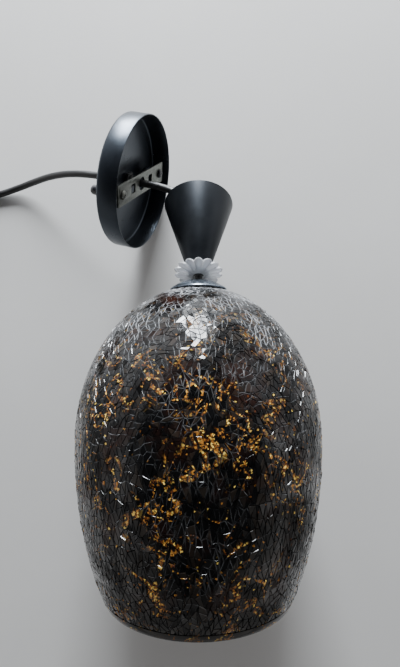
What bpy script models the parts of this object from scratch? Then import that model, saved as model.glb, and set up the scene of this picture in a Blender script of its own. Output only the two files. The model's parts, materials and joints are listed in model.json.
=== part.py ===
"""A hanging lamp with a crackle-mosaic glass shade, laid on its side, its ceiling canopy threaded on the cord.

Metres, +Z up. The origin is on the floor, under the middle of the lamp. Each sub-assembly is modelled
upright in its own frame, an empty, and the empty lays it down:
  lamp_frame    z = 0 at the top of the glass, +Z towards the cord
  swivel_frame  z = 0 at the pivot of the loose crystal rosette and cone, +Z towards the cone's wide end
  canopy_frame  z = 0 in the canopy's open rim, +Z towards the ceiling, +X along the crossbar
"""
import math

import bmesh
import bpy
from mathutils import Matrix, Vector

# ---- driving dimensions -------------------------------------------------------------------------------
GAP = 0.0003                    # clearance between solids that touch

SHADE_RADIUS = 0.100            # the widest outside radius of the mosaic
SHADE_LENGTH = 0.250            # from the open rim to the crown
SHADE_BELLY = 0.125             # height of the widest ring above the open rim
RIM_RADIUS = 0.075              # outside radius of the open rim
MOSAIC_WALL = 0.0016            # glass chips and their grout
BLANK_WALL = 0.0030             # the blown glass under them
MOSAIC_HOLE = 0.0130            # radius left free of mosaic under the cap
BLANK_HOLE = 0.0062             # hole for the hollow rod
RIM_BAND = 0.0060               # smooth band at the open rim
RIM_OVERRUN = 0.06              # radians that an outline runs on past the rim before it is trimmed level
SHADE_STEPS = 15

ROD_RADIUS = 0.0050             # M10 hollow rod
ROD_BORE = 0.0040
CAP_RADIUS = 0.0240
CAP_HEIGHT = 0.0070             # crown of the cap above the crown of the glass
CAP_CLEARANCE = 0.00085         # edge of the cap above the mosaic
CAP_WALL = 0.0012
CAP_BOSS_RADIUS = 0.0080
GASKET_RADIUS = 0.0110
GASKET_WALL = 0.0012
PLATE_RADIUS = 0.0140
PLATE_WALL = 0.0015
PLATE_SEAT = 0.0011             # the lower gasket's edge stays this much further inside the crown of the glass
NUT_RADIUS = 0.0090
NUT_HEIGHT = 0.0030
ROD_IN_HOLDER = 0.0090          # length of rod screwed into the holder
ROD_BELOW_CAP = 0.0005          # end of the rod under the face of the cap

HOLDER_RADIUS = 0.0200          # lamp holder, outside
HOLDER_CAP_LENGTH = 0.0180
HOLDER_NECK_RADIUS = 0.0085
HOLDER_NECK = 0.0050
HOLDER_CEILING = 0.0095         # underside of the holder's cap below its top
HOLDER_WALL = 0.0018
HOLDER_BODY_LENGTH = 0.0330
HOLDER_STEP = 0.0100            # plain part of the body above its thread
SHELL_RADIUS = 0.0143           # screw shell, outside
SHELL_WALL = 0.0006
THREAD_DEPTH = 0.0009
THREAD_TURNS = 5
INSERT_HEIGHT = 0.0050
TERMINAL_RADIUS = 0.0016
TERMINAL_REACH = 0.0085         # terminal screws from the centre
TERMINAL_DEPTH = 0.0030
TERMINAL_PROUD = 0.0015
CONTACT_RADIUS = 0.0030
CONTACT_STEM = 0.0018
CONTACT_PROUD = 0.0005
CONTACT_TRAVEL = 0.0020
CONTACT_EDGE = 0.0012
CONTACT_TIP = 0.0018
SIDE_CONTACT = ((0.0070, -0.0020), (0.0105, 0.0020))
SIDE_CONTACT_DROP = 0.0022
SIDE_CONTACT_WALL = 0.0010
RING_RADIUS = 0.0235            # threaded shade ring round the holder
RING_HEIGHT = 0.0060
RING_FLANGE = 0.0015
RING_DROP = 0.0030              # top of the ring below the body's step

CORD_RADIUS = 0.00325
CORE_RADIUS = 0.0011
PIVOT_HEIGHT = 0.0108           # swivel point of the rosette above the crown of the glass
PETALS = 14
PETAL_RADIUS = 0.0210
PETAL_NOTCH = 0.80              # radius between two petals, as a share of the petal radius
ROSETTE_ROOM = 0.00135          # room round the cord in the rosette's bore
ROSETTE_BORE = CORD_RADIUS + ROSETTE_ROOM
CONE_SMALL = 0.0086             # outside radius at the narrow end
CONE_LARGE = 0.0318             # and at the wide end
CONE_BASE = 0.0009              # narrow end above the pivot
CONE_TOP = 0.0790               # wide end above the pivot
CONE_WALL = 0.0010
CONE_ROOM = 0.00195             # and in the cone's hole
CONE_HOLE = CORD_RADIUS + CONE_ROOM

CANOPY_RADIUS = 0.0590
CANOPY_DEPTH = 0.0190
CANOPY_WALL = 0.0010
CANOPY_CORNER = 0.0025
CANOPY_HOLE = 0.0054
BAR_LENGTH = 0.0970
BAR_WIDTH = 0.0190
BAR_WALL = 0.0015
BAR_DEPTH = 0.0033              # ceiling face of the crossbar below the open rim
BAR_HOLE = 0.0060
KNOCKOUT_SIZE = 0.0080
KNOCKOUT_REACH = 0.0185         # square knock-outs from the centre
STUD_RADIUS = 0.0020
STUD_REACH = 0.0400             # studs from the centre
STUD_END = 0.0100               # length of stud outside the closed face
HEAD_RADIUS = 0.0040
HEAD_CROWN = 0.0030
HEAD_EDGE = 0.0012
HEAD_HEIGHT = 0.0024
NUT_CAP_RADIUS = 0.0044
NUT_CAP_LENGTH = 0.0140
NUT_CAP_SHOULDER = 0.0100
NUT_CAP_TIP = 0.0012
NUT_NECK_RADIUS = 0.0034
NUT_NECK = 0.0030
GRIP_RADIUS = 0.0080
GRIP_FLANGE = 0.0040
GRIP_TIP_RADIUS = 0.0052
GRIP_LENGTH = 0.0120
GRIP_THREAD = 0.0050            # length of thread inside the canopy
GRIP_NUT_RADIUS = 0.0085
GRIP_NUT_HEIGHT = 0.0030

# ---- how the lamp lies --------------------------------------------------------------------------------
CROWN = Vector((0.0, 0.0479, 0.0914))           # crown of the glass, on the lamp's axis
LAMP_TILT = math.radians(4)                     # the cap end hangs this much below level
DROOP = math.radians(25)                        # the rosette and cone hang this much below the lamp's axis
CANOPY_CENTRE = Vector((-0.0486, 0.1450, 0.0619))
CANOPY_LEAN = math.radians(13)                  # the open side looks up this much
CANOPY_TURN = math.radians(-14)                 # and this much round towards the shade
BAR_TURN = math.radians(34)

# The free cord: out of the cap, through rosette, cone, crossbar and canopy, down to the floor and to its coil.
CORD_ROUTE = [
    (0.0000, 0.0555, 0.0909),
    (0.0000, 0.0630, 0.0903),
    (0.0002, 0.0720, 0.0891),
    (0.0003, 0.0810, 0.0871),
    (0.0002, 0.0900, 0.0846),
    (-0.0005, 0.0986, 0.0817),
    (-0.0021, 0.1072, 0.0783),
    (-0.0048, 0.1156, 0.0747),
    (-0.0089, 0.1237, 0.0710),
    (-0.0148, 0.1310, 0.0675),
    (-0.0227, 0.1372, 0.0646),
    (-0.0322, 0.1414, 0.0627),
    (-0.0411, 0.1439, 0.0617),
    (-0.0499, 0.1457, 0.0607),
    (-0.0586, 0.1475, 0.0593),
    (-0.0662, 0.1494, 0.0576),
    (-0.0800, 0.1529, 0.0543),
    (-0.0950, 0.1566, 0.0503),
    (-0.1120, 0.1602, 0.0440),
    (-0.1300, 0.1629, 0.0350),
    (-0.1480, 0.1637, 0.0245),
    (-0.1660, 0.1622, 0.0140),
    (-0.1840, 0.1585, 0.0068),
    (-0.2030, 0.1532, 0.0040),
    (-0.2230, 0.1485, 0.0036),
    (-0.2420, 0.1468, 0.0036),
]
CORD_POINTS = 44
COIL_CENTRE = Vector((-0.2550, 0.1010, 0.0036))
COIL_RADIUS = 0.0350            # middle of the coil's turns
COIL_COLUMNS = 2                # turns side by side
COIL_LAYERS = 2                 # turns on top of each other
TAIL_GAP = 0.00065              # the cord's cut end beside the coil
TAIL_START = COIL_CENTRE - Vector((COIL_RADIUS + (COIL_COLUMNS + 1) * CORD_RADIUS + TAIL_GAP, 0, 0))
TAIL_MIDDLE = TAIL_START + Vector((0.0001, -0.0170, 0))
TAIL_END = TAIL_START + Vector((0.0029, -0.0330, 0))
CORE_SPREAD = 0.0016            # each core's middle from the cord's
CORE_LENGTH = 0.0220
FERRULE_LENGTH = 0.0080
LEAD_REACH = 0.0015             # each core's middle from the axis, where the sheath ends inside the holder
LEAD_SPLAY = 0.0066             # and a little lower

SIDES = 40                      # facets round the large turned pieces
SMALL_SIDES = 20                # and round the small ones


# ---- scene and materials ------------------------------------------------------------------------------
for old in list(bpy.data.objects):
    bpy.data.objects.remove(old, do_unlink=True)

parts = bpy.data.collections.new("mosaic_hanging_lamp")
cutters = bpy.data.collections.new("cutters")
bpy.context.scene.collection.children.link(parts)
bpy.context.scene.collection.children.link(cutters)


def material(name, colour, roughness, metallic=0.0, transmission=0.0):
    made = bpy.data.materials.new(name)
    made.use_nodes = True
    shader = made.node_tree.nodes["Principled BSDF"]
    shader.inputs["Base Color"].default_value = (*colour, 1.0)
    shader.inputs["Roughness"].default_value = roughness
    shader.inputs["Metallic"].default_value = metallic
    shader.inputs["Transmission Weight"].default_value = transmission
    made.diffuse_color = (*colour, 1.0)
    return made


def frame(name, location, rotation):
    """An empty that lays down what is modelled upright in it."""
    empty = bpy.data.objects.new(name, None)
    empty.empty_display_size = 0.02
    empty.matrix_world = Matrix.Translation(location) @ rotation
    parts.objects.link(empty)
    return empty


def place(name, mesh, parent, finish, collection=parts):
    made = bpy.data.objects.new(name, mesh)
    collection.objects.link(made)
    made.parent = parent
    if finish:
        mesh.materials.append(finish)
    return made


# ---- shapes -------------------------------------------------------------------------------------------
def turned(name, profile, parent, finish, sides=SIDES, closed=True):
    """A solid of revolution about the frame's Z. The profile is (radius, z) pairs, outer side first."""
    mesh = bpy.data.meshes.new(name)
    count = len(profile)
    edges = [(i, i + 1) for i in range(count - 1)]
    if closed:
        edges.append((count - 1, 0))
    mesh.from_pydata([(radius, 0.0, z) for radius, z in profile], edges, [])
    made = place(name, mesh, parent, finish)
    screw = made.modifiers.new("Turn", "SCREW")
    screw.axis = "Z"
    screw.steps = sides
    screw.render_steps = sides
    screw.use_merge_vertices = True
    screw.merge_threshold = 0.00001
    screw.use_smooth_shade = True
    return made


def washer(name, outer, inner, bottom, top, parent, finish, sides=SMALL_SIDES):
    return turned(name, [(outer, top), (outer, bottom), (inner, bottom), (inner, top)], parent, finish, sides)


def smooth_route(route, count):
    """count points, evenly spaced, on a smooth curve through the route's own points."""
    fine = []
    last = len(route) - 1
    for i in range(last):
        a, b = Vector(route[max(i - 1, 0)]), Vector(route[i])
        c, d = Vector(route[i + 1]), Vector(route[min(i + 2, last)])
        for step in range(16):
            t = step / 16
            fine.append(0.5 * (2 * b + (c - a) * t + (2 * a - 5 * b + 4 * c - d) * t**2
                               + (3 * b - a - 3 * c + d) * t**3))
    fine.append(Vector(route[last]))
    reach = [0.0]
    for a, b in zip(fine, fine[1:]):
        reach.append(reach[-1] + (b - a).length)
    points = []
    i = 0
    for k in range(count):
        want = reach[-1] * k / (count - 1)
        while i < len(fine) - 2 and reach[i + 1] < want:
            i += 1
        share = (want - reach[i]) / (reach[i + 1] - reach[i])
        points.append(fine[i].lerp(fine[i + 1], min(max(share, 0.0), 1.0)))
    return points


def tube(name, points, radius, finish, resolution=3, parent=None):
    curve = bpy.data.curves.new(name, "CURVE")
    curve.dimensions = "3D"
    spline = curve.splines.new("POLY")
    spline.points.add(len(points) - 1)
    for place_of, point in zip(spline.points, points):
        place_of.co = (*point, 1.0)
    curve.bevel_depth = radius
    curve.bevel_resolution = resolution
    curve.use_fill_caps = True
    return place(name, curve, parent, finish)


def rod_mesh(radius, bottom, top, x=0.0, y=0.0, sides=SMALL_SIDES, top_radius=None):
    """A plain round rod along Z."""
    shape = bmesh.new()
    bmesh.ops.create_cone(
        shape, cap_ends=True, segments=sides, radius1=radius,
        radius2=radius if top_radius is None else top_radius, depth=top - bottom,
        matrix=Matrix.Translation((x, y, (bottom + top) / 2)))
    mesh = bpy.data.meshes.new("rod")
    shape.to_mesh(mesh)
    shape.free()
    return mesh


def box_mesh(low, high):
    shape = bmesh.new()
    size = Vector(high) - Vector(low)
    middle = (Vector(high) + Vector(low)) / 2
    bmesh.ops.create_cube(shape, size=1.0, matrix=Matrix.Translation(middle) @ Matrix.Diagonal((*size, 1.0)))
    mesh = bpy.data.meshes.new("box")
    shape.to_mesh(mesh)
    shape.free()
    return mesh


def cut(target, mesh, name):
    """Takes the cutter mesh out of the target, in the target's own frame."""
    cutter = place(name, mesh, target.parent, None, cutters)
    cutter.hide_render = True
    cutter.display_type = "WIRE"
    boolean = target.modifiers.new(name, "BOOLEAN")
    boolean.operation = "DIFFERENCE"
    boolean.object = cutter


def outline(curve, points):
    spline = curve.splines.new("POLY")
    spline.points.add(len(points) - 1)
    for place_of, (x, y) in zip(spline.points, points):
        place_of.co = (x, y, 0.0, 1.0)
    spline.use_cyclic_u = True


def rectangle(x, width, height):
    half_x, half_y = width / 2, height / 2
    return [(x - half_x, -half_y), (x + half_x, -half_y), (x + half_x, half_y), (x - half_x, half_y)]


def circle(x, radius, sides=16):
    return [(x + radius * math.cos(math.tau * k / sides), radius * math.sin(math.tau * k / sides))
            for k in range(sides)]


def flat_plate(name, outlines, bottom, top, parent, finish):
    """A plate between two levels: the first outline is its edge, and the others are holes."""
    curve = bpy.data.curves.new(name, "CURVE")
    curve.dimensions = "2D"
    curve.fill_mode = "BOTH"
    curve.extrude = (top - bottom) / 2
    for points in outlines:
        outline(curve, points)
    plate = place(name, curve, parent, finish)
    plate.location = (0, 0, (bottom + top) / 2)
    return plate


def hex_nut(name, radius, bore, bottom, top, parent, finish):
    outlines = [circle(0.0, radius, 6), circle(0.0, bore, SMALL_SIDES)]
    return flat_plate(name, outlines, bottom, top, parent, finish)


# ---- the shade ----------------------------------------------------------------------------------------
def shade_profile(depth, hole=MOSAIC_HOLE):
    """The egg's outline at this depth under its outer face, from the hole in the crown to just past the rim.
    Every layer has its corners at the same angles, so that their flat facets stay a steady distance apart."""
    above = SHADE_LENGTH - SHADE_BELLY
    below = SHADE_BELLY / math.sqrt(1 - (RIM_RADIUS / SHADE_RADIUS) ** 2)
    belly_z = SHADE_BELLY - SHADE_LENGTH
    crown = math.acos(MOSAIC_HOLE / SHADE_RADIUS)
    rim = math.asin(SHADE_BELLY / below) + RIM_OVERRUN
    angles = [crown - (crown + rim) * step / SHADE_STEPS for step in range(SHADE_STEPS + 1)]
    if hole < MOSAIC_HOLE:
        angles.insert(0, math.acos(hole / SHADE_RADIUS))
    points = []
    for angle in angles:
        height = above if angle > 0 else below
        normal = math.hypot(height * math.cos(angle), SHADE_RADIUS * math.sin(angle))
        radius = SHADE_RADIUS * math.cos(angle) - depth * height * math.cos(angle) / normal
        z = belly_z + height * math.sin(angle) - depth * SHADE_RADIUS * math.sin(angle) / normal
        points.append((radius, z))
    return points


def trim_at(points, z):
    """The outline cut off level at this height, above the rim."""
    kept = [point for point in points if point[1] > z + 0.001]
    (r0, z0), (r1, z1) = kept[-1], points[len(kept)]
    share = (z - z0) / (z1 - z0)
    return kept + [(r0 + (r1 - r0) * share, z)]


def radius_at(points, z):
    for (r0, z0), (r1, z1) in zip(points, points[1:]):
        if z0 >= z >= z1:
            return r0 + (r1 - r0) * (z - z0) / (z1 - z0)
    return points[-1][0]


def shade_layer(name, outer_depth, wall, hole, bottom, finish):
    outer = trim_at(shade_profile(outer_depth, hole), bottom)
    inner = trim_at(shade_profile(outer_depth + wall, hole), bottom)
    return turned(name, outer + inner[::-1], lamp_frame, finish)


lamp_frame = frame("lamp_frame", CROWN, Matrix.Rotation(-(math.pi / 2 + LAMP_TILT), 4, "X"))
lamp_axis = lamp_frame.matrix_world.to_3x3() @ Vector((0, 0, 1))

mosaic_finish = material("mosaic", (0.030, 0.026, 0.022), 0.15)
glass_finish = material("smoked_glass", (0.050, 0.045, 0.040), 0.05, transmission=0.5)
black_metal = material("black_metal", (0.020, 0.022, 0.026), 0.38, 0.4)
zinc_finish = material("zinc", (0.40, 0.40, 0.38), 0.45, 1.0)
brass_finish = material("brass", (0.62, 0.46, 0.20), 0.30, 1.0)
crystal_finish = material("crystal", (0.93, 0.94, 0.97), 0.03, transmission=0.9)
rubber_finish = material("gasket_rubber", (0.05, 0.05, 0.05), 0.80)
bakelite = material("holder_plastic", (0.02, 0.02, 0.02), 0.45)
ceramic = material("holder_ceramic", (0.85, 0.84, 0.80), 0.35)
nylon = material("nylon", (0.03, 0.03, 0.03), 0.50)
cord_finish = material("cord_sheath", (0.02, 0.02, 0.02), 0.55)
core_finish = material("core_insulation", (0.35, 0.18, 0.08), 0.50)

rim_z = -SHADE_LENGTH
shade_layer("mosaic_skin", 0.0, MOSAIC_WALL, MOSAIC_HOLE, rim_z + RIM_BAND, mosaic_finish)
blank_depth = MOSAIC_WALL + GAP
shade_layer("glass_blank", blank_depth, BLANK_WALL, BLANK_HOLE, rim_z, glass_finish)
# A smooth band closes the mosaic's edge at the open rim, standing as proud as the mosaic does.
band_levels = [rim_z + RIM_BAND - GAP, rim_z + RIM_BAND / 2, rim_z]
band_outer = [(radius_at(shade_profile(0.0), z), z) for z in band_levels]
band_inner = [(radius_at(shade_profile(MOSAIC_WALL), z), z) for z in band_levels]
turned("rim_band", band_outer + band_inner[::-1], lamp_frame, glass_finish)

# ---- cap, gaskets, plate, nut and hollow rod ----------------------------------------------------------
blank_top = -blank_depth
inner_top = -blank_depth - BLANK_WALL


def crown_fall(radius, widest):
    """How far an egg of this widest radius has fallen from its crown, at this radius."""
    return (SHADE_LENGTH - SHADE_BELLY) * (1 - math.sqrt(1 - (radius / widest) ** 2))


cap_rim_z = CAP_CLEARANCE - crown_fall(CAP_RADIUS, SHADE_RADIUS)
dome_rise = CAP_HEIGHT - cap_rim_z - CAP_WALL
dome = (CAP_RADIUS**2 + dome_rise**2) / (2 * dome_rise)


def dome_z(radius, drop=0.0):
    return CAP_HEIGHT - drop - (dome - math.sqrt(dome**2 - radius**2))


rod_hole = ROD_RADIUS + GAP
cap_profile = [(rod_hole, dome_z(rod_hole))]
cap_profile += [(CAP_RADIUS * share, dome_z(CAP_RADIUS * share)) for share in (0.4, 0.55, 0.7, 0.85, 1.0)]
cap_profile += [(CAP_RADIUS, cap_rim_z), (CAP_RADIUS - CAP_WALL, cap_rim_z)]
cap_profile += [(CAP_RADIUS * share, dome_z(CAP_RADIUS * share, CAP_WALL)) for share in (0.9, 0.75, 0.55)]
gasket_top = blank_top + GAP + GASKET_WALL
cap_profile += [(CAP_BOSS_RADIUS, dome_z(CAP_BOSS_RADIUS, CAP_WALL)), (CAP_BOSS_RADIUS, gasket_top + GAP),
                (rod_hole, gasket_top + GAP)]
turned("cap_dome", cap_profile, lamp_frame, black_metal)
washer("upper_gasket", GASKET_RADIUS, rod_hole, blank_top + GAP, gasket_top, lamp_frame, rubber_finish)
inner_radius = SHADE_RADIUS - blank_depth - BLANK_WALL - PLATE_SEAT
lower_gasket_top = inner_top - crown_fall(PLATE_RADIUS, inner_radius) - GAP
washer("lower_gasket", PLATE_RADIUS, rod_hole, lower_gasket_top - GASKET_WALL, lower_gasket_top,
       lamp_frame, rubber_finish)
plate_top = lower_gasket_top - GASKET_WALL - GAP
washer("fitter_plate", PLATE_RADIUS, rod_hole, plate_top - PLATE_WALL, plate_top, lamp_frame, zinc_finish)
nut_top = plate_top - PLATE_WALL - GAP
hex_nut("rod_lock_nut", NUT_RADIUS, rod_hole, nut_top - NUT_HEIGHT, nut_top, lamp_frame, zinc_finish)
holder_top = nut_top - NUT_HEIGHT - GAP
rod_bottom = holder_top - ROD_IN_HOLDER
rod_top = dome_z(rod_hole) - ROD_BELOW_CAP
washer("hollow_rod", ROD_RADIUS, ROD_BORE, rod_bottom, rod_top, lamp_frame, zinc_finish)

# ---- lamp holder --------------------------------------------------------------------------------------
cap_bottom = holder_top - HOLDER_CAP_LENGTH
shoulder_z = holder_top - HOLDER_NECK - 0.0070
ceiling_z = holder_top - HOLDER_CEILING
turned("holder_cap", [
    (rod_hole, holder_top), (HOLDER_NECK_RADIUS, holder_top), (HOLDER_NECK_RADIUS, holder_top - HOLDER_NECK),
    (HOLDER_RADIUS * 0.88, shoulder_z + 0.0035), (HOLDER_RADIUS, shoulder_z), (HOLDER_RADIUS, cap_bottom),
    (HOLDER_RADIUS - HOLDER_WALL, cap_bottom), (HOLDER_RADIUS - HOLDER_WALL, shoulder_z - 0.0005),
    (HOLDER_RADIUS * 0.80, shoulder_z + 0.0017), (HOLDER_NECK_RADIUS - 0.0005, ceiling_z),
    (rod_hole, ceiling_z),
], lamp_frame, bakelite, 28)
body_top = cap_bottom - GAP
body_bottom = body_top - HOLDER_BODY_LENGTH
body_inner = SHELL_RADIUS + GAP
step_z = body_top - HOLDER_STEP
seat_z = body_top - INSERT_HEIGHT - GAP
seat_radius = body_inner + 0.0035
turned("holder_body", [
    (HOLDER_RADIUS, body_top), (HOLDER_RADIUS, step_z), (HOLDER_RADIUS - 0.0015, step_z - 0.001),
    (HOLDER_RADIUS - 0.0030, body_bottom), (body_inner, body_bottom), (body_inner, seat_z),
    (seat_radius, seat_z), (seat_radius, body_top),
], lamp_frame, bakelite, 28)
insert_bottom = body_top - INSERT_HEIGHT
insert = place("ceramic_insert", rod_mesh(SHELL_RADIUS + 0.0030, insert_bottom, body_top, sides=28),
               lamp_frame, ceramic)
cut(insert, rod_mesh(CONTACT_STEM + GAP, insert_bottom - 0.001, body_top + 0.001), "contact_bore")
terminal_bottom = body_top - TERMINAL_DEPTH
terminal_top = body_top + TERMINAL_PROUD
for side, tag in ((-1, "left"), (1, "right")):
    terminal_x = side * TERMINAL_REACH
    cut(insert, rod_mesh(TERMINAL_RADIUS + GAP, terminal_bottom, body_top + 0.001, terminal_x, sides=12),
        "terminal_bore_" + tag)
    screw_mesh = rod_mesh(TERMINAL_RADIUS, terminal_bottom + GAP, terminal_top, terminal_x, sides=12)
    place("terminal_screw_" + tag, screw_mesh, lamp_frame, brass_finish)

shell_top = insert_bottom - GAP
shell_bottom = body_bottom + 0.0015
thread_outer = []
steps = THREAD_TURNS * 4
for step in range(steps + 1):
    z = shell_top + (shell_bottom - shell_top) * step / steps
    wave = 0.5 - 0.5 * math.cos(math.tau * THREAD_TURNS * step / steps)
    thread_outer.append((SHELL_RADIUS - THREAD_DEPTH * wave, z))
thread_inner = [(radius - SHELL_WALL, z) for radius, z in reversed(thread_outer)]
turned("screw_shell", thread_outer + thread_inner, lamp_frame, brass_finish, 24)
contact_z = shell_top - CONTACT_TRAVEL
turned("centre_contact", [
    (0.0, body_top + CONTACT_PROUD), (CONTACT_STEM, body_top + CONTACT_PROUD), (CONTACT_STEM, contact_z),
    (CONTACT_RADIUS, contact_z), (CONTACT_RADIUS, contact_z - CONTACT_EDGE), (0.0, contact_z - CONTACT_TIP),
], lamp_frame, brass_finish, 16, closed=False)
side_contact_top = shell_top - SIDE_CONTACT_DROP
place("side_contact", box_mesh((*SIDE_CONTACT[0], side_contact_top - SIDE_CONTACT_WALL),
                               (*SIDE_CONTACT[1], side_contact_top)), lamp_frame, brass_finish)
ring_top = step_z - RING_DROP
ring_inner = HOLDER_RADIUS - 0.0014 + GAP
turned("shade_ring", [
    (ring_inner + 0.0012, ring_top), (RING_RADIUS, ring_top), (RING_RADIUS, ring_top - RING_FLANGE),
    (ring_inner + RING_FLANGE, ring_top - RING_FLANGE), (ring_inner + RING_FLANGE, ring_top - RING_HEIGHT),
    (ring_inner, ring_top - RING_HEIGHT), (ring_inner, ring_top),
], lamp_frame, bakelite, 28)

# ---- the two cores from the sheathed cord to the terminals --------------------------------------------
lead_bottom = rod_bottom - 0.001
lead_top = CAP_HEIGHT + GAP
tube("lead_in_rod", [Vector((0, 0, z)) for z in (lead_bottom, (lead_bottom + lead_top) / 2, lead_top)],
     CORD_RADIUS, cord_finish, parent=lamp_frame)
for side, name in ((-1, "live_core"), (1, "neutral_core")):
    tube(name, smooth_route([
        (side * LEAD_REACH, 0, lead_bottom - 2 * GAP), (side * LEAD_REACH, 0, lead_bottom - 0.0014),
        (side * LEAD_SPLAY, 0, lead_bottom - 0.0030), (side * TERMINAL_REACH, 0, terminal_top + 0.0020),
        (side * TERMINAL_REACH, 0, terminal_top + GAP),
    ], 12), CORE_RADIUS, core_finish, 2, lamp_frame)

# ---- crystal rosette and cone -------------------------------------------------------------------------
pivot = CROWN + PIVOT_HEIGHT * lamp_axis
swivel_frame = frame("swivel_frame", pivot, Matrix.Rotation(-(math.pi / 2 + LAMP_TILT + DROOP), 4, "X"))


def rosette():
    """A fluted saucer: a turned profile whose outer rings are drawn in between the petals."""
    profile = [
        (ROSETTE_BORE, 0.0004), (CONE_SMALL + 0.0010, 0.0004), (CONE_SMALL + 0.0030, 0.0016),
        (PETAL_RADIUS * 0.80, 0.0026), (PETAL_RADIUS * 0.96, 0.0034), (PETAL_RADIUS, 0.0024),
        (PETAL_RADIUS * 0.96, 0.0014), (PETAL_RADIUS * 0.72, 0.0003), (0.0100, -0.0004),
        (0.0060, -0.0012), (ROSETTE_BORE, -0.0012),
    ]
    shape = bmesh.new()
    corners = [shape.verts.new((radius, 0.0, z)) for radius, z in profile]
    edges = [shape.edges.new((a, b)) for a, b in zip(corners, corners[1:] + corners[:1])]
    bmesh.ops.spin(shape, geom=corners + edges, cent=(0, 0, 0), axis=(0, 0, 1), angle=math.tau,
                   steps=PETALS * 4, use_merge=True)
    bmesh.ops.remove_doubles(shape, verts=shape.verts, dist=0.00001)
    bmesh.ops.recalc_face_normals(shape, faces=shape.faces)
    root = PETAL_RADIUS * 0.60
    for vert in shape.verts:
        radius = math.hypot(vert.co.x, vert.co.y)
        if radius > root:
            wave = 0.5 + 0.5 * math.cos(PETALS * math.atan2(vert.co.y, vert.co.x))
            draw_in = 1 - (1 - PETAL_NOTCH) * wave * (radius - root) / (PETAL_RADIUS - root)
            vert.co.x *= draw_in
            vert.co.y *= draw_in
    mesh = bpy.data.meshes.new("crystal_rosette")
    shape.to_mesh(mesh)
    shape.free()
    return place("crystal_rosette", mesh, swivel_frame, crystal_finish)


rosette()
turned("cone_cover", [
    (CONE_HOLE, CONE_BASE + CONE_WALL), (CONE_SMALL - CONE_WALL, CONE_BASE + CONE_WALL),
    (CONE_LARGE - CONE_WALL, CONE_TOP), (CONE_LARGE, CONE_TOP), (CONE_SMALL, CONE_BASE),
    (CONE_HOLE, CONE_BASE),
], swivel_frame, black_metal)

# ---- canopy -------------------------------------------------------------------------------------------
canopy_rotation = (Matrix.Rotation(CANOPY_TURN, 4, "Z") @ Matrix.Rotation(math.pi / 2 - CANOPY_LEAN, 4, "Y")
                   @ Matrix.Rotation(BAR_TURN, 4, "Z"))
canopy_frame = frame("canopy_frame", CANOPY_CENTRE, canopy_rotation)
floor_z = -CANOPY_DEPTH


def corner(radius, centre_radius, centre_z, steps=4):
    """A quarter round from the side wall to the closed face."""
    turns = [math.pi / 2 * step / steps for step in range(steps + 1)]
    return [(centre_radius + radius * math.cos(turn), centre_z - radius * math.sin(turn)) for turn in turns]


canopy_profile = [(CANOPY_RADIUS, 0.0)]
corner_middle = (CANOPY_RADIUS - CANOPY_CORNER, floor_z + CANOPY_CORNER)
canopy_profile += corner(CANOPY_CORNER, *corner_middle)
canopy_profile += [(CANOPY_HOLE, floor_z), (CANOPY_HOLE, floor_z + CANOPY_WALL)]
canopy_profile += corner(CANOPY_CORNER - CANOPY_WALL, *corner_middle)[::-1]
canopy_profile += [(CANOPY_RADIUS - CANOPY_WALL, 0.0)]
canopy = turned("canopy_cup", canopy_profile, canopy_frame, black_metal, 56)

bar_top = -BAR_DEPTH
bar_bottom = bar_top - BAR_WALL
bar_holes = [circle(0.0, BAR_HOLE, 20)]
for side in (-1, 1):
    bar_holes.append(rectangle(side * KNOCKOUT_REACH, KNOCKOUT_SIZE, KNOCKOUT_SIZE))
    bar_holes.append(circle(side * STUD_REACH, STUD_RADIUS + GAP, 12))
flat_plate("crossbar", [rectangle(0.0, BAR_LENGTH, BAR_WIDTH)] + bar_holes, bar_bottom, bar_top,
           canopy_frame, zinc_finish)

stud_bottom = floor_z - STUD_END
for side, tag in ((-1, "upper"), (1, "lower")):
    cut(canopy, rod_mesh(STUD_RADIUS + GAP, floor_z - 0.001, floor_z + CANOPY_WALL + 0.001,
                         x=side * STUD_REACH, sides=12), "stud_hole_" + tag)
    stud_frame = bpy.data.objects.new("stud_frame_" + tag, None)
    stud_frame.parent = canopy_frame
    stud_frame.location = (side * STUD_REACH, 0, 0)
    parts.objects.link(stud_frame)
    head_bottom = bar_top + GAP
    turned("stud_" + tag, [
        (0.0, head_bottom + HEAD_HEIGHT), (HEAD_CROWN, head_bottom + HEAD_HEIGHT),
        (HEAD_RADIUS, head_bottom + HEAD_EDGE), (HEAD_RADIUS, head_bottom), (STUD_RADIUS, head_bottom),
        (STUD_RADIUS, stud_bottom), (0.0, stud_bottom),
    ], stud_frame, zinc_finish, 12, closed=False)
    nut_face = floor_z - GAP
    bore = STUD_RADIUS + GAP
    turned("cap_nut_" + tag, [
        (0.0, stud_bottom - 2 * GAP), (bore, stud_bottom - 2 * GAP), (bore, nut_face),
        (NUT_NECK_RADIUS, nut_face),
        (NUT_NECK_RADIUS, nut_face - NUT_NECK), (NUT_CAP_RADIUS, nut_face - NUT_NECK - 0.0004),
        (NUT_CAP_RADIUS, nut_face - NUT_CAP_SHOULDER),
        (NUT_CAP_RADIUS * 0.75, nut_face - NUT_CAP_LENGTH + NUT_CAP_TIP), (0.0, nut_face - NUT_CAP_LENGTH),
    ], stud_frame, black_metal, 16, closed=False)

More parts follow.
